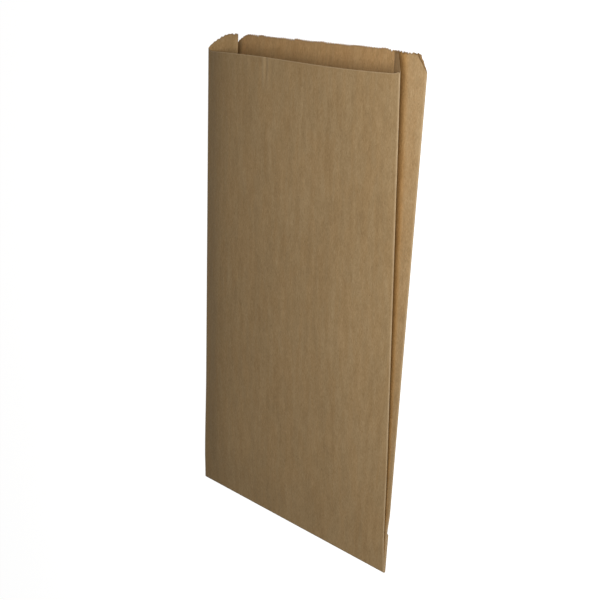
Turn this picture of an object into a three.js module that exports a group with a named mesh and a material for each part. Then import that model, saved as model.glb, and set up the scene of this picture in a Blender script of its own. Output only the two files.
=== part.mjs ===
// A flat kraft paper bag with side gussets, a saw-cut mouth with a lower front lip, and a bottom that is
// folded over once and pasted to the back. It lies on its back panel with the mouth sprung a little open.
// The whole bag is one sheet: a tube closed by a lap seam, so it is modelled as one folded wall.
//
// Millimetres, +Z up. X runs across the bag, Y from the folded bottom to the mouth, and the front panel
// is uppermost. The origin is on the surface that the bag lies on, under the middle of its box.

import * as THREE from 'three';

// The bag pressed flat
const bagWidth = 254;
const bagLength = 381;
const gussetDepth = 50.8;
const bottomFold = 30;

// The sheet, and the air left between layers that are folded onto each other
const paperThickness = 0.12;
const layerClearance = 0.03;
const turnClearance = 0.2;

// The mouth: how far it springs open, and how the saw-toothed knife cuts it
const mouthDepth = 24.4;
const lipDrop = 14.7;
const lipCornerRise = 3;
const lipCornerWidth = 6;
const leftCornerCut = 21;
const rightCornerCut = 10;
const toothPitch = 3.2;
const toothDepth = 1.2;

// The lap seam that closes the tube, on the back panel beside the left fold
const seamFromFold = 8;
const seamLap = 15;
const seamRunOut = 3;
const rawEdge = 0.1;

// Length over which the back panel comes down to the table above the folded bottom
const stepDown = 16;

// Facets
const foldFacets = 3;
const turnFacets = 6;
const panelColumns = 6;
const leafColumns = 2;
const bodyRows = 6;
const stepRows = 4;
const mouthBand = 12;
const hair = 0.02;

// Worked out from the sizes above. A layer gap also has room for the seam's second layer.
const layerPitch = 2 * paperThickness + layerClearance;
const foldRadius = layerPitch / 2;
const pressedDepth = 3 * layerPitch + paperThickness;
const panelLength = bagWidth - paperThickness - 2 * foldRadius;
const leafLength = gussetDepth / 2 - 2 * foldRadius;
const turnRadius = turnClearance / 2;
const turnReach = turnRadius + pressedDepth;
const foldedHeight = turnReach + turnRadius;
const lipLength = bagLength - lipDrop;

// Names of the twelve strips round the tube, from the back panel's left end
const BACK = 0;
const FRONT = 6;
const STRIPS = 12;

// The strips of the cross-section at one depth, each with its start and heading. Flat strips have a
// length, folds a turn. Heading is along the strip with the inside of the bag on the left.
function traceTube(depth) {
  const reach = Math.hypot(leafLength, 2 * foldRadius);
  const rise = (depth - paperThickness) / 2 - foldRadius;
  const slope = Math.asin(rise / reach) - Math.atan2(2 * foldRadius, leafLength);
  const outerFold = { length: 0, turn: Math.PI - slope };
  const crease = { length: 0, turn: 2 * slope - Math.PI };
  const leaf = { length: leafLength, turn: 0 };
  const panel = { length: panelLength, turn: 0 };
  const gusset = [outerFold, leaf, crease, leaf, outerFold];
  const strips = [];
  let x = -panelLength / 2;
  let height = paperThickness / 2;
  let heading = 0;
  for (const strip of [panel, ...gusset, panel, ...gusset]) {
    const placed = { ...strip, x, height, heading };
    strips.push(placed);
    ({ x, height, heading } = alongStrip(placed, 1));
  }
  return strips;
}

// A point of the sheet's middle line at share s of a strip
function alongStrip(strip, s) {
  if (strip.turn === 0) {
    return {
      x: strip.x + s * strip.length * Math.cos(strip.heading),
      height: strip.height + s * strip.length * Math.sin(strip.heading),
      heading: strip.heading,
    };
  }
  const radius = Math.sign(strip.turn) * foldRadius;
  const heading = strip.heading + s * strip.turn;
  return {
    x: strip.x + radius * (Math.sin(heading) - Math.sin(strip.heading)),
    height: strip.height - radius * (Math.cos(heading) - Math.cos(strip.heading)),
    heading,
  };
}

// Where a point of a strip lies across the bag when it is pressed flat
function flatPosition(strip, s) {
  const half = bagWidth / 2;
  const inFromFold = half - foldRadius;
  const crease = inFromFold - leafLength;
  switch (strip) {
    case BACK: return THREE.MathUtils.lerp(-panelLength / 2, panelLength / 2, s);
    case FRONT: return THREE.MathUtils.lerp(panelLength / 2, -panelLength / 2, s);
    case 2: return THREE.MathUtils.lerp(inFromFold, crease, s);
    case 3: return crease;
    case 4: return THREE.MathUtils.lerp(crease, inFromFold, s);
    case 8: return -THREE.MathUtils.lerp(inFromFold, crease, s);
    case 9: return -crease;
    case 10: return -THREE.MathUtils.lerp(crease, inFromFold, s);
    default: return strip < FRONT ? half : -half;
  }
}

// Extra thickness of the back panel at the lap seam, on the inside and on the outside. The inner layer's
// raw edge lies nearest the fold, and past the outer layer's raw edge the sheet eases back into line.
function seamThickness(strip, x) {
  const innerEdge = -bagWidth / 2 + seamFromFold;
  const outerEdge = innerEdge + seamLap;
  const none = { inside: 0, outside: 0 };
  if (strip !== BACK || x < innerEdge + rawEdge / 2 || x > outerEdge + seamRunOut) return none;
  if (x < outerEdge - rawEdge / 2) return { inside: paperThickness, outside: 0 };
  const eased = paperThickness * (1 - Math.max(0, x - outerEdge) / seamRunOut);
  return { inside: eased, outside: -eased };
}

function seamColumns() {
  const innerEdge = -bagWidth / 2 + seamFromFold;
  const outerEdge = innerEdge + seamLap;
  return [innerEdge, innerEdge + rawEdge, outerEdge - rawEdge, outerEdge, outerEdge + seamRunOut];
}

// Shares of a strip at which the sheet has a column of vertices: few on the body, and at the mouth one
// at every tip and root of the teeth.
function evenShares(count) {
  return Array.from({ length: count + 1 }, (_, i) => i / count);
}

function bodyShares(strip) {
  if (strip === FRONT) return evenShares(panelColumns);
  if (strip === BACK) return mergeShares(evenShares(panelColumns), seamColumns().map(shareOfBack));
  return evenShares(strip % 2 === 0 ? leafColumns : foldFacets);
}

function mouthShares(strip) {
  const fixed = bodyShares(strip);
  if (strip % 2 === 1) return fixed;
  const start = flatPosition(strip, 0);
  const run = flatPosition(strip, 1) - start;
  const shares = [];
  const last = Math.ceil(bagWidth / toothPitch);
  for (let step = -last; step <= last; step += 1) {
    const share = (step * toothPitch / 2 - start) / run;
    const inLip = strip === FRONT && bagWidth / 2 - Math.abs(step * toothPitch / 2) > lipCornerWidth;
    if (share > 0 && share < 1 && !inLip) shares.push(share);
  }
  if (strip !== FRONT) return mergeShares(fixed, shares);
  const ends = [1, -1].map((side) => side * (bagWidth / 2 - lipCornerWidth));
  return mergeShares(fixed, mergeShares(ends.map((x) => (x - start) / run), shares));
}

function shareOfBack(x) {
  return x / panelLength + 0.5;
}

// One rising list of shares; a share of the second list that nearly repeats one of the first is left out
function mergeShares(first, second) {
  const nearest = 0.2 / panelLength;
  const added = second.filter((share) => first.every((other) => Math.abs(other - share) > nearest));
  return [...first, ...added].sort((a, b) => a - b);
}

// Columns all round the tube; the last share of each strip is the first of the next
function tubeColumns(sharesOf) {
  const columns = [];
  for (let strip = 0; strip < STRIPS; strip += 1) {
    for (const share of sharesOf(strip)) {
      if (share < 1) columns.push({ strip, share });
    }
  }
  return columns;
}

// The cut edge. The knife takes a parabola off each top corner and leaves triangular teeth; the front
// panel is slit across lower down, and only its two ends are cut by the knife.
function toothRoot(flat) {
  const teeth = Math.abs(flat) / toothPitch;
  return toothDepth * Math.abs(teeth - Math.round(teeth)) * 2;
}

function cutLength(strip, flat) {
  const fromFold = bagWidth / 2 - Math.abs(flat);
  if (strip === FRONT) {
    const corner = lipCornerRise * (1 - fromFold / lipCornerWidth) - toothRoot(flat);
    return lipLength + (fromFold < lipCornerWidth ? Math.max(0, corner) : 0);
  }
  const cornerCut = flat < 0 ? leftCornerCut : rightCornerCut;
  const outside = Math.max(0, 1 - fromFold / cornerCut);
  return bagLength - (lipDrop - lipCornerRise) * outside * outside - toothRoot(flat);
}

// Heights of the back panel's underside and of the front panel's top at a distance from the bottom
function backHeight(y) {
  return foldedHeight * (1 - THREE.MathUtils.smoothstep(y, bottomFold, bottomFold + stepDown));
}

function frontHeight(y) {
  const bottom = foldedHeight + pressedDepth;
  return bottom + (mouthDepth - bottom) * (y - turnReach) / (lipLength - turnReach);
}

function bodyPlace(y) {
  return {
    depth: frontHeight(y) - backHeight(y),
    at: (x, height) => [x, y, backHeight(y) + height],
  };
}

// Rows from the free end of the folded bottom, round the turn, and up the body
function tubeRows() {
  const rows = [bottomFold, turnReach].map((y) => ({
    depth: pressedDepth,
    at: (x, height) => [x, y, pressedDepth - height],
  }));
  for (let i = 1; i <= turnFacets; i += 1) {
    const angle = Math.PI * i / turnFacets;
    rows.push({
      depth: pressedDepth,
      at: (x, height) => {
        const radius = turnRadius + height;
        return [x, turnReach - radius * Math.sin(angle), turnReach - radius * Math.cos(angle)];
      },
    });
  }
  for (let i = 0; i <= stepRows; i += 1) rows.push(bodyPlace(bottomFold + stepDown * i / stepRows));
  const bodyStart = bottomFold + stepDown;
  const bodyEnd = lipLength - mouthBand;
  for (let i = 1; i <= bodyRows; i += 1) {
    rows.push(bodyPlace(THREE.MathUtils.lerp(bodyStart, bodyEnd, i / bodyRows)));
  }
  return rows;
}

// Collects vertices and triangles of the closed wall
class Wall {
  constructor() {
    this.positions = [];
    this.triangles = [];
  }

  vertex([x, y, z]) {
    this.positions.push(x, y - bagLength / 2, z);
    return this.positions.length / 3 - 1;
  }

  // Both faces of the sheet at one column of one row
  column(strips, { strip, share }, at) {
    const point = alongStrip(strips[strip], share);
    const extra = seamThickness(strip, point.x);
    const outward = [Math.sin(point.heading), -Math.cos(point.heading)];
    const face = (offset) => this.vertex(at(point.x + offset * outward[0], point.height + offset * outward[1]));
    return {
      strip,
      share,
      outer: face(paperThickness / 2 + extra.outside),
      inner: face(-paperThickness / 2 - extra.inside),
    };
  }

  row(columns, { depth, at }) {
    const strips = traceTube(depth);
    return columns.map((column) => this.column(strips, column, at));
  }

  mouthRow(columns) {
    return columns.map((column) => {
      const y = cutLength(column.strip, flatPosition(column.strip, column.share));
      const { depth, at } = bodyPlace(y);
      return this.column(traceTube(depth), column, at);
    });
  }

  triangle(side, a, b, c) {
    this.triangles.push(...(side === 'outer' ? [a[side], b[side], c[side]] : [a[side], c[side], b[side]]));
  }

  // Triangles between two rows whose columns may differ: whichever row's next column comes first is taken
  join(side, low, high) {
    const order = (row, i) => (i < row.length ? row[i].strip + row[i].share : STRIPS);
    let i = 0;
    let j = 0;
    while (i < low.length || j < high.length) {
      const a = low[i % low.length];
      const b = high[j % high.length];
      const nextLow = i < low.length ? order(low, i + 1) : Infinity;
      const nextHigh = j < high.length ? order(high, j + 1) : Infinity;
      if (nextLow <= nextHigh) {
        i += 1;
        this.triangle(side, a, b, low[i % low.length]);
      } else {
        j += 1;
        this.triangle(side, a, b, high[j % high.length]);
      }
    }
  }

  // The cut edge of the paper round the mouth
  edge(row) {
    row.forEach((a, i) => {
      const b = row[(i + 1) % row.length];
      this.triangles.push(a.outer, a.inner, b.outer, b.outer, a.inner, b.inner);
    });
  }

  // A flat closing across the pressed layers. The loop's straight runs are drawn in by a hair while the
  // triangles are chosen, so that none of them joins three points in one line.
  close(side, row, depth, columns) {
    const strips = traceTube(depth);
    const loop = columns.map(({ strip, share }) => {
      const point = alongStrip(strips[strip], share);
      const extra = seamThickness(strip, point.x);
      const face = side === 'outer' ? paperThickness / 2 + extra.outside : -paperThickness / 2 - extra.inside;
      const offset = strip % 2 === 0 ? face - hair * share * (1 - share) : face;
      return new THREE.Vector2(
        point.x + offset * Math.sin(point.heading),
        point.height - offset * Math.cos(point.heading),
      );
    });
    for (const [a, b, c] of THREE.ShapeUtils.triangulateShape(loop, [])) {
      const area = loop[b].clone().sub(loop[a]).cross(loop[c].clone().sub(loop[a]));
      const facesOut = (area > 0) === (side === 'outer');
      this.triangles.push(...(facesOut ? [a, b, c] : [a, c, b]).map((k) => row[k][side]));
    }
  }

  geometry() {
    const geometry = new THREE.BufferGeometry();
    geometry.setAttribute('position', new THREE.Float32BufferAttribute(this.positions, 3));
    geometry.setIndex(this.triangles);
    geometry.computeVertexNormals();
    return geometry;
  }
}

// The bag: an outer face from the pasted flap to the mouth, and an inner face from the turn to the mouth.
// The flap's layers are pasted through, so it is solid between its outer faces.
function makeBag() {
  const wall = new Wall();
  const columns = tubeColumns(bodyShares);
  const rows = tubeRows().map((row) => wall.row(columns, row));
  const mouth = wall.mouthRow(tubeColumns(mouthShares));
  const turnStart = 1;
  for (let i = 0; i + 1 < rows.length; i += 1) {
    wall.join('outer', rows[i], rows[i + 1]);
    if (i >= turnStart) wall.join('inner', rows[i], rows[i + 1]);
  }
  wall.join('outer', rows.at(-1), mouth);
  wall.join('inner', rows.at(-1), mouth);
  wall.edge(mouth);
  wall.close('outer', rows[0], pressedDepth, columns);
  wall.close('inner', rows[turnStart], pressedDepth, columns);
  return wall.geometry();
}

const kraft = new THREE.MeshStandardMaterial({ color: 0xa8845a, roughness: 0.88, metalness: 0 });
const paperBag = new THREE.Mesh(makeBag(), kraft);
paperBag.name = 'paper_bag';

const part = new THREE.Group();
part.add(paperBag);

export default part;
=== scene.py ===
import math

import bmesh
import bpy
from mathutils import Matrix, Vector, noise


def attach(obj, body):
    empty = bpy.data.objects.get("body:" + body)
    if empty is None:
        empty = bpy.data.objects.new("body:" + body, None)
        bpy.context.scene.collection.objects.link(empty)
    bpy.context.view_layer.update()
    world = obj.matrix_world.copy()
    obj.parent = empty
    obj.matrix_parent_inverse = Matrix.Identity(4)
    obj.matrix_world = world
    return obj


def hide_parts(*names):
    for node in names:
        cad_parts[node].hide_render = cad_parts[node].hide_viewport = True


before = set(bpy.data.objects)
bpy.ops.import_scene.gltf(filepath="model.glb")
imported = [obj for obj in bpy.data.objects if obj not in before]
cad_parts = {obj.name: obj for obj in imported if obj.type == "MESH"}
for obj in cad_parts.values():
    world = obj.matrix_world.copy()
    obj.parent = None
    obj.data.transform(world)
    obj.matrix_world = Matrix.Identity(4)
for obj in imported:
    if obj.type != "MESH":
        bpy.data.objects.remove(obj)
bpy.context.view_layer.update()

# A flat kraft paper bag that lies on its back panel. +X is the bag's right, +Y the mouth, +Z the front.
# "Along" is the distance from the bottom fold. The tube is modelled open, as a box with no ends, and then
# folded: the gussets go in, the panels close towards the bottom, and the bottom end turns under the bag.

MM = 0.001

# Places closer than this count as the same.
HAIR = 0.01 * MM

# Sizes that the CAD part has too.
BAG_WIDTH = 254 * MM
BAG_LENGTH = 381 * MM
GUSSET_DEPTH = 50.8 * MM
BOTTOM_FOLD = 30 * MM
STEP_END = 46 * MM
SHEET = 0.12 * MM
LAYER_PITCH = 0.27 * MM
TURN_RADIUS = 0.1 * MM
MOUTH_DEPTH = 24.4 * MM
SEAM_INNER_EDGE = -119 * MM
SEAM_OUTER_EDGE = -104 * MM

# The cut at the mouth. Each side has its own oblique cut, from the front fold up to the teeth.
LIP_DROP = 16.4 * MM
LIP_SWAY = 0.8 * MM
LIP_SWAY_OFFSET = 0.25
LIP_CORNER_WIDTH = 6 * MM
LEFT_CUT_RISE = 3.2 * MM
LEFT_CUT_WIDTH = 25 * MM
LEFT_CUT_BEND = 2.1
RIGHT_CUT_RISE = 1.8 * MM
RIGHT_CUT_WIDTH = 9.5 * MM
RIGHT_CUT_BEND = 1.15
RIGHT_END_START = 75 * MM
RIGHT_END_RUN = 30 * MM
RIGHT_END_DROP = 1.4 * MM

# The knife's teeth, worn and ragged over a few column steps. Each layer's seed gives it its own wear.
TOOTH_DEPTH = 1.3 * MM
TOOTH_WEAR = 0.7
WEAR_STEPS = 2.6
WEAR_SEED = 0.5
RAGGED_DEPTH = 0.7 * MM
RAGGED_STEPS = 5.3
RAGGED_SEED = 8.5
TEETH_LOST_ON_SLANT = 0.75
PANEL_SEED = 3.3
LEFT_LEAF_SEED = 17.7
RIGHT_LEAF_SEED = 29.1
FLAP_SEED = 0.0

# How the bag lies: folds that loosen towards the mouth, a crowned front panel and a slack left gusset.
SPRING = 0.6 * MM
SPRING_RISE = 25 * MM
SPRING_FALL = 60 * MM
SPRING_END = 90 * MM
RADIUS_GROWTH = 0.15 * MM
ANGLE_ROUNDS = 12
CROWN = 2.8 * MM
CROWN_POWER = 3
CROWN_START = 20 * MM
CROWN_RUN = 200 * MM
LEFT_ROLL = 1.8 * MM
ROLL_WIDTH = 24 * MM
ROLL_START = 4 * MM
ROLL_RUN = 40 * MM
LEFT_GUSSET_PULL = 0.155

# Short creases under the lip: place across and height of each.
LIP_CREASES = (
    (-38 * MM, 0.5 * MM),
    (-34.8 * MM, -0.35 * MM),
    (-31.6 * MM, 0.42 * MM),
    (-27 * MM, -0.2 * MM),
)
CREASE_WIDTH = 1.3 * MM
CREASE_LENGTH = 26 * MM
CREASE_FADE = 20 * MM

# Cockles: height, width across the sheet, length along it, and a seed.
FRONT_COCKLES = (
    (0.1 * MM, 7 * MM, 50 * MM, 3.1),
    (0.19 * MM, 17 * MM, 42 * MM, 12.6),
    (0.45 * MM, 48 * MM, 105 * MM, 7.7),
)
BACK_RIBS = (0.03 * MM, 7 * MM, 75 * MM, 23.4)
BACK_WAVES = (0.12 * MM, 60 * MM, 110 * MM, 41.9)
LEAF_SWELL = (0.3 * MM, 30 * MM, 80 * MM)
LEAF_SEED = 51.3
LEAF_SEED_SIDE = 5
LEAF_SEED_LOWER = 11
FLAT_BY_FOLDS = 14 * MM
FRONT_LOOSE_RUN = 60 * MM
BACK_LOOSE_RUN = 40 * MM
LEAF_LOOSE_START = 30 * MM
LEAF_LOOSE_RUN = 120 * MM

# How the mesh is divided. A row band is the distance along at which it ends and its number of rows.
FOLD_RUN = 0.25 * MM
HALF_PANEL_COLUMNS = 79
LEAF_COLUMNS = 16
TURN_STEPS = 8
FLAP_ROWS = 8
MOUTH_DRAW_START = 330 * MM
TEETH_START = 376 * MM
ROW_BANDS = ((STEP_END, 14), (MOUTH_DRAW_START, 38), (TEETH_START, 14), (BAG_LENGTH, 4))
SEAM_MARGIN = 1 * MM
ALIGNED = 0.9
SMOOTH_ANGLE = math.radians(60)

# How far each kind of mark on the paper reaches, and how strong it is. Some marks are painted shade, painted
# light or a painted highlight.
# Rub marks on folds, lip and raised creases, with a painted highlight in them.
FOLD_RUB_AND_HIGHLIGHT = 0.8
LIP_RUB_AND_HIGHLIGHT = 0.9
CREASE_RUB_AND_HIGHLIGHT = 0.4
# Painted shade darkens the front panel's left side, fading out over this width.
LEFT_SHADE_WIDTH = 55 * MM
# Painted shade: how deep in a gusset the paper starts and finishes going darker and warmer, and how much of
# it the whole inner side gets.
TUCK_SHADE_START = 0.48
TUCK_SHADE_RUN = 0.25
INSIDE_SHADE_SHARE = 0.25
# Painted shade fills the pocket under the left gusset beyond this edge, and painted light on the inner side
# starts from it.
POCKET_EDGE = -116 * MM
POCKET_RUN = 3 * MM
# Painted light on the inner back panel grows over this run from the pocket's edge.
INNER_LIGHT_RUN = 4 * MM
BACK_SWELL = 0.6 * MM

# Linear colours of the paper, and what its marks multiply them by, painted shade and painted light among
# them.
KRAFT_DARK = (0.225, 0.14, 0.06)
KRAFT_BROWN = (0.36, 0.24, 0.115)
KRAFT_PALE = (0.50, 0.35, 0.19)
SHIVE_BROWN = (0.15, 0.09, 0.04)
# Pale worn fibre, also a painted highlight on folds, lip and creases.
WORN_FIBRE_AND_HIGHLIGHT = (0.60, 0.45, 0.28)
STREAK_TINT = (1.01, 0.98, 0.94)
MARK_TINTS = {
    # Painted shade, darker and warmer, deep in the gussets, on the inner side and in the left pocket.
    "painted_deep_shade": (1.0, 0.84, 0.58),
    # Painted shade along the mouth's cut edges of the back panel and gussets.
    "painted_edge_shade": (0.60, 0.56, 0.48),
    # Painted shade on the left of the front panel.
    "painted_left_shade": (0.76, 0.76, 0.74),
    # Painted light, paler, on the inner back panel and the inner right half.
    "painted_inside_light": (1.32, 1.26, 1.23),
}

# Grains of the paper: width and length of a mark, then the noise's detail, roughness and distortion.
GRAINS = {
    "fibres": (0.5 * MM, 2.4 * MM, 4, 0.65, 0),
    "ribs": (5 * MM, 48 * MM, 3, 0.5, 0.5),
    "clouds": (6 * MM, 11 * MM, 5, 0.65, 0.3),
    "wrinkles": (1.5 * MM, 2.8 * MM, 4, 0.6, 0.8),
    "drift": (60 * MM, 90 * MM, 2, 0.5, 0),
    "shives": (0.7 * MM, 2.2 * MM, 1, 0.5, 0),
    "streaks": (9 * MM, 40 * MM, 4, 0.6, 0.6),
    # Noise of the rub marks and their painted highlight.
    "rubbing_and_highlight": (1.5 * MM, 6 * MM, 3, 0.5, 0),
}
TONE_SHARES = {"fibres": 1.1, "ribs": 0.4, "clouds": 0.6, "wrinkles": 0.35, "drift": 0.25}
RELIEF_SHARES = {"fibres": 0.35, "wrinkles": 0.9, "clouds": 1.0, "ribs": 0.6}
RELIEF_HEIGHT = 0.09 * MM
SHIVE_START = 0.70
SHIVE_FULL = 0.76
SHIVE_STRENGTH = 0.6
STREAK_START = 0.42
STREAK_FULL = 0.58
ROUGHNESS_LOW = 0.62
ROUGHNESS_HIGH = 0.86
PAPER_IOR = 1.45
PAPER_SHEEN = 0.3

# A soft lamp to the right of the camera's axis, and a little light from all round.
FLOOR_SIZE = 6
FLOOR_BELOW = 0.2 * MM
FLOOR_GLOW = 0.92
FLOOR_WHITE = 0.45
FILL_LEVEL = 0.045
FILL_WARMTH = (1.0, 0.93, 0.82)
KEY_PLACE = Vector((0.65, 0.19, 0.52))
KEY_AIM = Vector((0.0, 0.02, 0.0))
KEY_LENGTH = 0.36
KEY_WIDTH = 0.20
KEY_POWER = 6.35

# The photo's camera, solved from the bag's corners, folds and creases.
CAMERA_PLACE = Vector((0.9828, 0.2148, 0.6995))
CAMERA_RIGHT = Vector((0.5648, 0.0702, -0.8222))
CAMERA_AHEAD = Vector((-0.8027, -0.1833, -0.5674))
CAMERA_LENS = 94.13
CAMERA_SENSOR = 36
CAMERA_NEAR = 0.01

PRESSED_DEPTH = 3 * LAYER_PITCH + SHEET
TURN_REACH = PRESSED_DEPTH + TURN_RADIUS
FLAP_HEIGHT = PRESSED_DEPTH + 2 * TURN_RADIUS
FOLDED_HEIGHT = FLAP_HEIGHT + PRESSED_DEPTH
LIP_ALONG = BAG_LENGTH - LIP_DROP
HALF_WIDTH = BAG_WIDTH / 2
PANEL_EDGE = HALF_WIDTH - FOLD_RUN
LEAF = GUSSET_DEPTH / 2
LEAF_RUN = LEAF - 2 * FOLD_RUN
BOTTOM_Y = -BAG_LENGTH / 2


def clamp(value, low=0.0, high=1.0):
    return max(low, min(high, value))


def smooth(value):
    """0 below 0 and 1 above 1, with an even curve between them."""
    value = clamp(value)
    return value * value * (3 - 2 * value)


def cockle(x, y, height, width, length, seed):
    """Smooth noise of that height either way, whose swells are about that wide and that long."""
    return height * noise.noise(Vector((x / width, y / length, seed)))


def on_panel(x):
    """Whether a place across belongs to the front or back panel, and not to a gusset."""
    return abs(x) < PANEL_EDGE + HAIR


def from_panel_edge(z):
    """Distance down a gusset of the open tube from the nearer panel."""
    return min(z, GUSSET_DEPTH - z)


# Selecting in edit mode

def pick(part, test):
    """Select only the verts, edges or faces that pass the test."""
    mode = {"verts": "VERT", "edges": "EDGE", "faces": "FACE"}[part]
    bpy.ops.mesh.select_mode(type=mode)
    bpy.ops.mesh.select_all(action="DESELECT")
    mesh = bmesh.from_edit_mesh(bpy.context.edit_object.data)
    for item in getattr(mesh, part):
        if test(item):
            item.select_set(True)
    mesh.select_flush_mode()
    bmesh.update_edit_mesh(bpy.context.edit_object.data)


def edge_middle(edge):
    return (edge.verts[0].co + edge.verts[1].co) / 2


def runs_along(edge, axis):
    reach = edge.verts[1].co - edge.verts[0].co
    return abs(reach[axis]) > ALIGNED * reach.length


def cut_through(place, normal):
    bpy.ops.mesh.select_all(action="SELECT")
    bpy.ops.mesh.bisect(plane_co=place, plane_no=normal)


# The open tube

def add_open_tube():
    """A box of the tube's size with no ends, cut along its fold lines and into columns and rows."""
    start = BOTTOM_Y + TURN_REACH
    length = BAG_LENGTH - TURN_REACH
    bpy.ops.object.select_all(action="DESELECT")
    bpy.ops.mesh.primitive_cube_add(size=1, location=(0, start + length / 2, LEAF))
    tube = bpy.context.object
    tube.name = "kraft_bag"
    tube.data.name = "kraft_bag"
    tube.scale = (BAG_WIDTH, length, GUSSET_DEPTH)
    bpy.ops.object.transform_apply(location=True, rotation=False, scale=True)

    bpy.ops.object.mode_set(mode="EDIT")
    pick("faces", lambda face: abs(face.normal.y) > ALIGNED)
    bpy.ops.mesh.delete(type="ONLY_FACE")
    score_folds()
    divide_columns()
    divide_rows()
    lap_seam()
    bpy.ops.object.mode_set(mode="OBJECT")
    return tube


def score_folds():
    """Cut lines beside each fold, so that it can turn in four facets."""
    for inset in (FOLD_RUN, FOLD_RUN / 2):
        for side in (-1, 1):
            cut_through((side * (HALF_WIDTH - inset), 0, 0), (1, 0, 0))
        for height in (inset, LEAF - inset, LEAF + inset, GUSSET_DEPTH - inset):
            cut_through((0, 0, height), (0, 0, 1))
    cut_through((0, 0, LEAF), (0, 0, 1))
    cut_through((0, 0, 0), (1, 0, 0))


def divide_columns():
    """Columns of half a tooth, so that the saw-cut edge has a tip or a root at each one."""
    pick("edges", lambda edge: runs_along(edge, 0) and edge.calc_length() > 2 * FOLD_RUN)
    bpy.ops.mesh.subdivide(number_cuts=HALF_PANEL_COLUMNS - 1)
    pick("edges", lambda edge: runs_along(edge, 2) and edge.calc_length() > 2 * FOLD_RUN)
    bpy.ops.mesh.subdivide(number_cuts=LEAF_COLUMNS - 1)


def divide_rows():
    """Rows across the tube, closer together at the stepped bottom and at the mouth."""
    for end, _ in ROW_BANDS[:-1]:
        cut_through((0, BOTTOM_Y + end, 0), (0, 1, 0))
    start = TURN_REACH
    for end, rows in ROW_BANDS:
        low, high = BOTTOM_Y + start, BOTTOM_Y + end
        pick("edges", lambda edge: runs_along(edge, 1) and low < edge_middle(edge).y < high)
        bpy.ops.mesh.subdivide(number_cuts=rows - 1)
        start = end


def lap_seam():
    """Lift the back panel over the lap of the sheet's other edge, and lay that edge under it."""
    start_y = BOTTOM_Y + STEP_END
    pick("verts", lambda vert: vert.co.z < SHEET / 2
         and SEAM_INNER_EDGE < vert.co.x < SEAM_OUTER_EDGE
         and vert.co.y > start_y)
    bpy.ops.transform.translate(value=(0, 0, SHEET))
    pick("faces", lambda face: face.calc_center_median().z < SHEET + HAIR
         and max(vert.co.z for vert in face.verts) > SHEET / 2
         and face.calc_center_median().x < SEAM_OUTER_EDGE - SEAM_MARGIN
         and min(vert.co.y for vert in face.verts) > start_y)
    bpy.ops.mesh.duplicate()
    bpy.ops.transform.resize(value=(1, 1, 0), center_override=(0, 0, 0))


# The knife's cut at the mouth

def tooth_dip(steps, seed):
    """Depth of the saw cut, from none at an even number of column steps to all of it at an odd one."""
    worn = 1 + TOOTH_WEAR * noise.noise(Vector((steps / WEAR_STEPS, seed, WEAR_SEED)))
    ragged = RAGGED_DEPTH * noise.noise(Vector((steps / RAGGED_STEPS, seed, RAGGED_SEED)))
    return TOOTH_DEPTH * worn * abs((steps + 1) % 2 - 1) + ragged


def cut_along(x, z):
    """How far along the tube it is cut off, at a place on the open tube's outline."""
    if x < 0:
        width, bend, rise = LEFT_CUT_WIDTH, LEFT_CUT_BEND, LEFT_CUT_RISE
        leaf_seed = LEFT_LEAF_SEED
    else:
        width, bend, rise = RIGHT_CUT_WIDTH, RIGHT_CUT_BEND, RIGHT_CUT_RISE
        leaf_seed = RIGHT_LEAF_SEED
    if on_panel(x):
        from_fold = HALF_WIDTH - abs(x)
        dip = tooth_dip(x / PANEL_EDGE * HALF_PANEL_COLUMNS, PANEL_SEED)
    else:
        from_fold = from_panel_edge(z)
        leaf_share = clamp((from_fold - FOLD_RUN) / LEAF_RUN)
        dip = tooth_dip(1 + leaf_share * LEAF_COLUMNS, leaf_seed)
    if on_panel(x) and z > LEAF:
        near = clamp(1 - from_fold / LIP_CORNER_WIDTH)
        sway = LIP_SWAY * (LIP_SWAY_OFFSET + math.sin(math.pi * (x / HALF_WIDTH + 1)))
        return LIP_ALONG + sway + rise * near - dip * near
    slant = clamp(1 - from_fold / width)
    skew = RIGHT_END_DROP * smooth((x - RIGHT_END_START) / RIGHT_END_RUN)
    drop = skew + (LIP_DROP - rise - skew) * slant ** bend
    return BAG_LENGTH - drop - dip * (1 - TEETH_LOST_ON_SLANT * slant)


def cut_mouth(tube):
    """Draw the rows near the mouth in, so that the last row is the cut edge."""
    for vert in tube.data.vertices:
        along = vert.co.y - BOTTOM_Y
        if along <= MOUTH_DRAW_START + HAIR:
            continue
        end = cut_along(vert.co.x, vert.co.z)
        share = (along - MOUTH_DRAW_START) / (BAG_LENGTH - MOUTH_DRAW_START)
        vert.co.y = BOTTOM_Y + MOUTH_DRAW_START + share * (end - MOUTH_DRAW_START)


# Folding the tube

def back_height(along):
    """Height of the middle of the back panel's sheet, which steps up over the folded bottom."""
    return SHEET / 2 + FLAP_HEIGHT * (1 - smooth((along - BOTTOM_FOLD) / (STEP_END - BOTTOM_FOLD)))


def front_height(along):
    """Height of the middle of the front panel's sheet: a flat slope with a little spring at the bottom."""
    slope = (MOUTH_DEPTH - FOLDED_HEIGHT) / (LIP_ALONG - TURN_REACH)
    spring = SPRING * smooth(along / SPRING_RISE) * smooth((SPRING_END - along) / SPRING_FALL)
    return FOLDED_HEIGHT - SHEET / 2 + slope * (along - TURN_REACH) + spring


def fold_radius(along):
    return LAYER_PITCH / 2 + RADIUS_GROWTH * along / BAG_LENGTH


def gusset_angle(depth, radius):
    """Slope of the gusset's leaves and their flat length, for panels that far apart."""
    angle = 0.0
    for _ in range(ANGLE_ROUNDS):
        flat = LEAF - radius * (math.pi - angle) / 2 - radius * (math.pi / 2 - angle)
        rise = depth / 2 - radius - 2 * radius * math.cos(angle)
        angle = math.asin(clamp(rise / flat))
    return angle, flat


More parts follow.
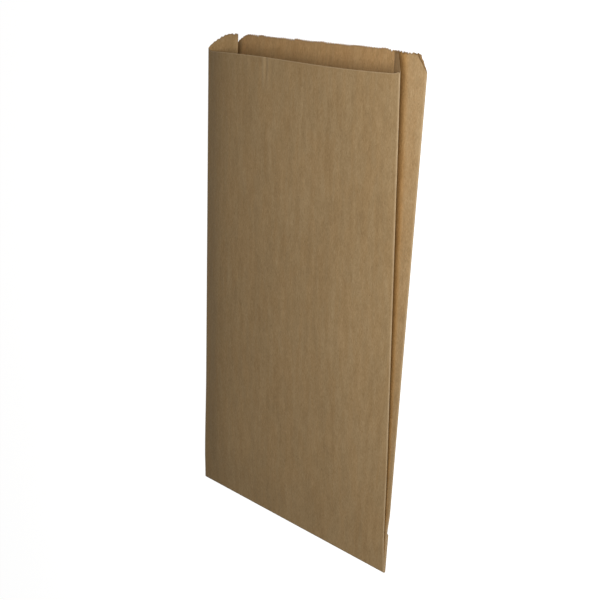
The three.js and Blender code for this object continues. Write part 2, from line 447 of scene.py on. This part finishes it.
def half_gusset(from_panel, angle, flat, radius):
    """Place on the folded half gusset: out from the panel's flat part, and up from its sheet."""
    if from_panel < 2 * FOLD_RUN:
        turn = (math.pi - angle) * from_panel / (2 * FOLD_RUN)
        return radius * math.sin(turn), radius - radius * math.cos(turn)
    share = clamp((from_panel - 2 * FOLD_RUN) / LEAF_RUN)
    out = radius * math.sin(angle) - flat * share * math.cos(angle)
    up = radius + radius * math.cos(angle) + flat * share * math.sin(angle)
    turn = (math.pi / 2 - angle) * clamp((from_panel - 2 * FOLD_RUN - LEAF_RUN) / FOLD_RUN)
    out += radius * math.sin(angle) - radius * math.sin(angle + turn)
    up += radius * math.cos(angle) - radius * math.cos(angle + turn)
    return out, up


def folded_place(x, y, z):
    """Where a point of the open tube goes when the bag is folded."""
    along = y - BOTTOM_Y
    side = -1 if x < 0 else 1
    back = back_height(along)
    front = front_height(along)
    radius = fold_radius(along)
    panel_end = HALF_WIDTH - SHEET / 2 - radius
    if on_panel(x):
        x_folded = x * panel_end / PANEL_EDGE
        if z < LEAF:
            return Vector((x_folded, y, back + z + back_ripple(x, y)))
        return Vector((x_folded, y, front + z - GUSSET_DEPTH + front_ripple(x, y)))
    angle, flat = gusset_angle(front - back, radius)
    in_lower_half = z <= LEAF
    from_corner = from_panel_edge(z)
    from_panel = abs(x) - PANEL_EDGE + from_corner
    out, up = half_gusset(from_panel, angle, flat, radius)
    ripple = leaf_ripple(from_corner, y, side, in_lower_half)
    out += ripple * math.sin(angle)
    up -= ripple * math.cos(angle)
    height = back + up if in_lower_half else front - up
    if side < 0 and out < 0:
        out *= 1 + LEFT_GUSSET_PULL * smooth(along / BAG_LENGTH)
    return Vector((side * (panel_end + out), y, height))


# The paper's own unevenness

def away_from_folds(x):
    return smooth((HALF_WIDTH - abs(x)) / FLAT_BY_FOLDS)


def crease_share(x, y, place):
    """1 on a short crease that runs down from the lip at that place across, and 0 away from it."""
    near_lip = smooth((y - BOTTOM_Y - LIP_ALONG + CREASE_LENGTH) / CREASE_FADE)
    return near_lip * math.exp(-((x - place) / CREASE_WIDTH) ** 2)


def front_ripple(x, y):
    """The front panel's crown, the roll beside its left fold, the lip's creases and the cockles."""
    along = y - BOTTOM_Y
    crown = CROWN * (1 - abs(x / HALF_WIDTH) ** CROWN_POWER) * smooth((along - CROWN_START) / CROWN_RUN)
    from_left = x + HALF_WIDTH
    roll = LEFT_ROLL * smooth(from_left / ROLL_WIDTH) * (1 - smooth(from_left / BAG_WIDTH))
    roll *= smooth((along - ROLL_START) / ROLL_RUN)
    creases = sum(height * crease_share(x, y, place) for place, height in LIP_CREASES)
    cockles = sum(cockle(x, y, *kind) for kind in FRONT_COCKLES)
    return crown + roll + creases + cockles * smooth(along / FRONT_LOOSE_RUN) * away_from_folds(x)


def back_ripple(x, y):
    """Ribs and waves of the back panel. The waves only rise, as the table holds them up."""
    cockles = cockle(x, y, *BACK_RIBS) + BACK_WAVES[0] + cockle(x, y, *BACK_WAVES)
    return cockles * smooth((y - BOTTOM_Y - STEP_END) / BACK_LOOSE_RUN) * away_from_folds(x)


def leaf_ripple(from_corner, y, side, lower):
    """Bow of a gusset leaf between its fold and its crease."""
    share = clamp((from_corner - FOLD_RUN) / LEAF_RUN)
    seed = LEAF_SEED + LEAF_SEED_SIDE * side + (LEAF_SEED_LOWER if lower else 0)
    loose = smooth((y - BOTTOM_Y - LEAF_LOOSE_START) / LEAF_LOOSE_RUN)
    return cockle(from_corner, y, *LEAF_SWELL, seed) * math.sin(math.pi * share) * loose


def fold_tube(tube):
    for vert in tube.data.vertices:
        vert.co = folded_place(*vert.co)


def turn_bottom_under():
    """Turn the tube's lower end under the bag and run it on as the pasted flap."""
    turn_y = BOTTOM_Y + TURN_REACH
    flap_length = BOTTOM_FOLD - TURN_REACH
    middle_y = turn_y + flap_length / 2
    bpy.ops.object.mode_set(mode="EDIT")
    pick("edges", lambda edge: edge.is_boundary
         and max(vert.co.y for vert in edge.verts) < turn_y + HAIR)
    bpy.ops.mesh.spin(steps=TURN_STEPS, angle=-math.pi, center=(0, turn_y, TURN_REACH), axis=(1, 0, 0))
    bpy.ops.mesh.extrude_region_move(TRANSFORM_OT_translate={"value": (0, flap_length, 0)})
    pick("edges", lambda edge: runs_along(edge, 1)
         and abs(edge.calc_length() - flap_length) < HAIR
         and abs(edge_middle(edge).y - middle_y) < HAIR)
    bpy.ops.mesh.subdivide(number_cuts=FLAP_ROWS - 1)
    bpy.ops.mesh.select_all(action="SELECT")
    bpy.ops.mesh.normals_make_consistent(inside=False)
    bpy.ops.object.mode_set(mode="OBJECT")


def cut_flap(tube):
    """Give the flap's free end the same saw-cut edge."""
    end = BOTTOM_Y + BOTTOM_FOLD
    column = PANEL_EDGE / HALF_PANEL_COLUMNS
    for vert in tube.data.vertices:
        if vert.co.z < PRESSED_DEPTH and abs(vert.co.y - end) < HAIR:
            vert.co.y -= tooth_dip(vert.co.x / column, FLAP_SEED)


# Marks on the paper, painted shade and painted light among them, kept with the mesh's points for the
# material

def mark_outside(tube):
    """On the open tube: rub marks with a painted highlight on folds, lip and creases, painted shade along
    the other cut edges, painted shade darkening the left of the front panel, and painted shade by how deep
    each point of a gusset lies."""
    for name in ("rub_and_highlight", *MARK_TINTS):
        tube.data.attributes.new(name, "FLOAT", "POINT")
    rub_and_highlight_marks = tube.data.attributes["rub_and_highlight"].data
    painted_edge_shade = tube.data.attributes["painted_edge_shade"].data
    painted_deep_shade = tube.data.attributes["painted_deep_shade"].data
    painted_left_shade = tube.data.attributes["painted_left_shade"].data
    for vert in tube.data.vertices:
        x, y, z = vert.co
        along = y - BOTTOM_Y
        on_fold = abs(x) > PANEL_EDGE - HAIR and from_panel_edge(z) < FOLD_RUN + HAIR
        on_edge = along > BAG_LENGTH - HAIR
        on_front = z > GUSSET_DEPTH - FOLD_RUN
        # Rub marks with a painted highlight on folds, the lip and the raised creases.
        if on_fold:
            rub_and_highlight_marks[vert.index].value = FOLD_RUB_AND_HIGHLIGHT
        elif on_edge and on_front:
            rub_and_highlight_marks[vert.index].value = LIP_RUB_AND_HIGHLIGHT
        # Painted shade along the cut edge of the back panel and gussets.
        if on_edge and not on_front:
            painted_edge_shade[vert.index].value = 1
        if on_front and not on_edge:
            creased = sum(crease_share(x, y, place) for place, height in LIP_CREASES if height > 0)
            rub_and_highlight_marks[vert.index].value += CREASE_RUB_AND_HIGHLIGHT * creased
        if on_front:
            # Painted shade, darker towards the front panel's left fold.
            painted_left_shade[vert.index].value = smooth(1 - (x + HALF_WIDTH) / LEFT_SHADE_WIDTH)
        if not on_panel(x):
            # Painted shade, darker and warmer the deeper a point lies in the gusset.
            gap = (front_height(along) - back_height(along)) / MOUTH_DEPTH
            depth = from_panel_edge(z) / LEAF
            painted_deep_shade[vert.index].value = smooth((depth / gap - TUCK_SHADE_START) / TUCK_SHADE_RUN)


def mark_inside(tube, outer_count):
    """On the sheet's inner side: painted shade, warmer all over and darkest in the pocket under the left
    gusset, and painted light, paler on the back panel and on the bag's right half. The painted shade on the
    front panel's left stays off the inner side."""
    painted_deep_shade = tube.data.attributes["painted_deep_shade"].data
    painted_inside_light = tube.data.attributes["painted_inside_light"].data
    painted_left_shade = tube.data.attributes["painted_left_shade"].data
    for vert in tube.data.vertices[outer_count:]:
        x, y, z = vert.co
        on_back = z < back_height(y - BOTTOM_Y) + BACK_SWELL
        # Painted shade in the pocket under the left gusset, and a share of it on the whole inner side.
        pocket = smooth((POCKET_EDGE - x) / POCKET_RUN) if on_back else 0
        painted_deep_shade[vert.index].value = INSIDE_SHADE_SHARE + (1 - INSIDE_SHADE_SHARE) * pocket
        # Painted light on the inner back panel and on the inner side of the right half.
        painted_inside_light[vert.index].value = smooth((x - POCKET_EDGE) / INNER_LIGHT_RUN) if on_back else float(x > 0)
        # No painted left-side shade on the inner side.
        painted_left_shade[vert.index].value = 0


def thicken(tube):
    """Give the sheet its thickness. The inner side's points follow the outer side's."""
    sheet = tube.modifiers.new("sheet", "SOLIDIFY")
    sheet.thickness = SHEET
    sheet.offset = 0
    sheet.use_rim = True
    bpy.ops.object.modifier_apply(modifier=sheet.name)


def add_bag():
    tube = add_open_tube()
    mark_outside(tube)
    cut_mouth(tube)
    fold_tube(tube)
    turn_bottom_under()
    cut_flap(tube)
    outer_count = len(tube.data.vertices)
    thicken(tube)
    mark_inside(tube, outer_count)
    bpy.ops.object.shade_smooth_by_angle(angle=SMOOTH_ANGLE)
    return tube


# Kraft paper

def put_node(tree, kind, **settings):
    node = tree.nodes.new(kind)
    for name, value in settings.items():
        setattr(node, name, value)
    return node


def grain(tree, width, length, detail, roughness, distortion):
    """Noise from 0 to 1 on Object coordinates, with marks about that wide across the sheet and that long."""
    place = put_node(tree, "ShaderNodeTexCoord")
    stretch = put_node(tree, "ShaderNodeMapping")
    stretch.inputs["Scale"].default_value = (1 / width, 1 / length, 1 / width)
    marks = put_node(tree, "ShaderNodeTexNoise")
    marks.inputs["Scale"].default_value = 1
    marks.inputs["Detail"].default_value = detail
    marks.inputs["Roughness"].default_value = roughness
    marks.inputs["Distortion"].default_value = distortion
    tree.links.new(place.outputs["Object"], stretch.inputs["Vector"])
    tree.links.new(stretch.outputs["Vector"], marks.inputs["Vector"])
    return marks.outputs["Fac"]


def mix_grains(tree, grains, shares):
    """A half, plus each grain's swing about its own middle times its share."""
    total = None
    for name, share in shares.items():
        swing = put_node(tree, "ShaderNodeMath", operation="SUBTRACT")
        swing.inputs[1].default_value = 0.5
        tree.links.new(grains[name], swing.inputs[0])
        summed = put_node(tree, "ShaderNodeMath", operation="MULTIPLY_ADD")
        summed.inputs[1].default_value = share
        summed.inputs[2].default_value = 0.5
        tree.links.new(swing.outputs[0], summed.inputs[0])
        if total is not None:
            tree.links.new(total, summed.inputs[2])
        total = summed.outputs[0]
    return total


def ramp(tree, source, *stops):
    """A colour ramp with the given places and colours. A third stop goes between the first two."""
    steps = put_node(tree, "ShaderNodeValToRGB")
    marks = steps.color_ramp.elements
    for index, (place, colour) in enumerate(stops):
        mark = marks[index] if index < 2 else marks.new(place)
        mark.position = place
        mark.color = (*colour, 1)
    tree.links.new(source, steps.inputs["Fac"])
    return steps.outputs["Color"]


def blend_colour(tree, amount, first, second, kind="MIX"):
    """The first colour, going over to the second, or to its product with it, as the amount goes to 1."""
    mix = put_node(tree, "ShaderNodeMix", data_type="RGBA", blend_type=kind)
    tree.links.new(amount, mix.inputs["Factor"])
    tree.links.new(first, mix.inputs["A"])
    mix.inputs["B"].default_value = (*second, 1)
    return mix.outputs["Result"]


def attribute(tree, name):
    return put_node(tree, "ShaderNodeAttribute", attribute_name=name).outputs["Fac"]


def kraft_paper():
    """Unbleached kraft: a brown sheet of long fibres, faintly ribbed and clouded, paler where it is worn and
    where a highlight is painted, with painted shade and light in its marks.
    """
    finish = bpy.data.materials.new("kraft_paper")
    finish.use_nodes = True
    tree = finish.node_tree
    shader = tree.nodes["Principled BSDF"]
    grains = {name: grain(tree, *sizes) for name, sizes in GRAINS.items()}
    tree.links.new(paper_colour(tree, grains), shader.inputs["Base Color"])

    gloss = put_node(tree, "ShaderNodeMapRange")
    gloss.inputs["To Min"].default_value = ROUGHNESS_LOW
    gloss.inputs["To Max"].default_value = ROUGHNESS_HIGH
    tree.links.new(grains["clouds"], gloss.inputs["Value"])
    tree.links.new(gloss.outputs["Result"], shader.inputs["Roughness"])
    shader.inputs["IOR"].default_value = PAPER_IOR
    shader.inputs["Specular IOR Level"].default_value = PAPER_SHEEN

    relief = put_node(tree, "ShaderNodeBump")
    relief.inputs["Strength"].default_value = 1
    relief.inputs["Distance"].default_value = RELIEF_HEIGHT
    tree.links.new(mix_grains(tree, grains, RELIEF_SHARES), relief.inputs["Height"])
    tree.links.new(relief.outputs["Normal"], shader.inputs["Normal"])
    return finish


def paper_colour(tree, grains):
    """Brown by the grains, with dark shives and warm streaks, the marks' tints of painted shade and light,
    and worn fibres with a painted highlight on top.
    """
    tone = mix_grains(tree, grains, TONE_SHARES)
    colour = ramp(tree, tone, (0, KRAFT_DARK), (1, KRAFT_PALE), (0.5, KRAFT_BROWN))
    shives = ramp(tree, grains["shives"], (SHIVE_START, (0, 0, 0)), (SHIVE_FULL, 3 * (SHIVE_STRENGTH,)))
    colour = blend_colour(tree, shives, colour, SHIVE_BROWN)
    streaks = ramp(tree, grains["streaks"], (STREAK_START, (0, 0, 0)), (STREAK_FULL, (1, 1, 1)))
    colour = blend_colour(tree, streaks, colour, STREAK_TINT, "MULTIPLY")
    # The tints are painted shade deep in the gussets, along the cut edges and on the front panel's left, and
    # painted light on the inner side.
    for name, tint in MARK_TINTS.items():
        colour = blend_colour(tree, attribute(tree, name), colour, tint, "MULTIPLY")
    # Rub marks and painted highlight on folds, lip and creases.
    rubbed_and_lit = put_node(tree, "ShaderNodeMath", operation="MULTIPLY")
    tree.links.new(attribute(tree, "rub_and_highlight"), rubbed_and_lit.inputs[0])
    tree.links.new(grains["rubbing_and_highlight"], rubbed_and_lit.inputs[1])
    return blend_colour(tree, rubbed_and_lit.outputs[0], colour, WORN_FIBRE_AND_HIGHLIGHT)


# Floor, light and camera

def seen_by_eye(tree):
    """1 for camera, mirror and see-through rays, and 0 for the light that falls on things."""
    path = put_node(tree, "ShaderNodeLightPath")
    either = put_node(tree, "ShaderNodeMath", operation="MAXIMUM")
    tree.links.new(path.outputs["Is Camera Ray"], either.inputs[0])
    tree.links.new(path.outputs["Is Glossy Ray"], either.inputs[1])
    any_of_three = put_node(tree, "ShaderNodeMath", operation="MAXIMUM")
    tree.links.new(either.outputs[0], any_of_three.inputs[0])
    tree.links.new(path.outputs["Is Transmission Ray"], any_of_three.inputs[1])
    return any_of_three.outputs[0]


def white_floor():
    """Matt white that takes a soft shadow, and that the eye sees near the backdrop's own white."""
    finish = bpy.data.materials.new("white_floor")
    finish.use_nodes = True
    tree = finish.node_tree
    tree.nodes.clear()
    matt = put_node(tree, "ShaderNodeBsdfDiffuse")
    matt.inputs["Color"].default_value = (FLOOR_WHITE, FLOOR_WHITE, FLOOR_WHITE, 1)
    level = put_node(tree, "ShaderNodeMath", operation="MULTIPLY")
    level.inputs[1].default_value = FLOOR_GLOW
    tree.links.new(seen_by_eye(tree), level.inputs[0])
    glow = put_node(tree, "ShaderNodeEmission")
    tree.links.new(level.outputs[0], glow.inputs["Strength"])
    both = put_node(tree, "ShaderNodeAddShader")
    tree.links.new(matt.outputs[0], both.inputs[0])
    tree.links.new(glow.outputs[0], both.inputs[1])
    output = put_node(tree, "ShaderNodeOutputMaterial")
    tree.links.new(both.outputs[0], output.inputs["Surface"])
    return finish


def add_floor():
    bpy.ops.object.select_all(action="DESELECT")
    bpy.ops.mesh.primitive_plane_add(size=FLOOR_SIZE, location=(0, 0, -FLOOR_BELOW))
    floor = bpy.context.object
    floor.name = "floor"
    floor.data.materials.append(white_floor())


def add_light():
    world = bpy.data.worlds.new("soft_room")
    bpy.context.scene.world = world
    world.use_nodes = True
    tree = world.node_tree
    backdrop = tree.nodes["Background"]
    backdrop.inputs["Strength"].default_value = 1
    tint = put_node(tree, "ShaderNodeMix", data_type="RGBA")
    tint.inputs["A"].default_value = (*[part * FILL_LEVEL for part in FILL_WARMTH], 1)
    tint.inputs["B"].default_value = (1, 1, 1, 1)
    tree.links.new(seen_by_eye(tree), tint.inputs["Factor"])
    tree.links.new(tint.outputs["Result"], backdrop.inputs["Color"])

    bpy.ops.object.light_add(type="AREA", location=KEY_PLACE)
    key = bpy.context.object
    key.name = "key_light"
    key.data.shape = "RECTANGLE"
    key.data.size = KEY_LENGTH
    key.data.size_y = KEY_WIDTH
    key.data.energy = KEY_POWER
    key.rotation_euler = (KEY_AIM - KEY_PLACE).to_track_quat("-Z", "Y").to_euler()
    key.visible_camera = False


def add_camera():
    ahead = CAMERA_AHEAD.normalized()
    up = CAMERA_RIGHT.cross(ahead).normalized()
    right = ahead.cross(up)
    turned = Matrix((right, up, -ahead)).transposed().to_4x4()
    bpy.ops.object.camera_add()
    camera = bpy.context.object
    camera.name = "camera"
    camera.matrix_world = Matrix.Translation(CAMERA_PLACE) @ turned
    camera.data.sensor_width = CAMERA_SENSOR
    camera.data.lens = CAMERA_LENS
    camera.data.clip_start = CAMERA_NEAR
    bpy.context.scene.camera = camera


add_camera()
add_light()
add_floor()

bag = add_bag()
bag.data.materials.clear()
bag.data.materials.append(kraft_paper())
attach(bag, "root")
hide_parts("paper_bag")

bpy.context.scene.view_settings.view_transform = "Standard"
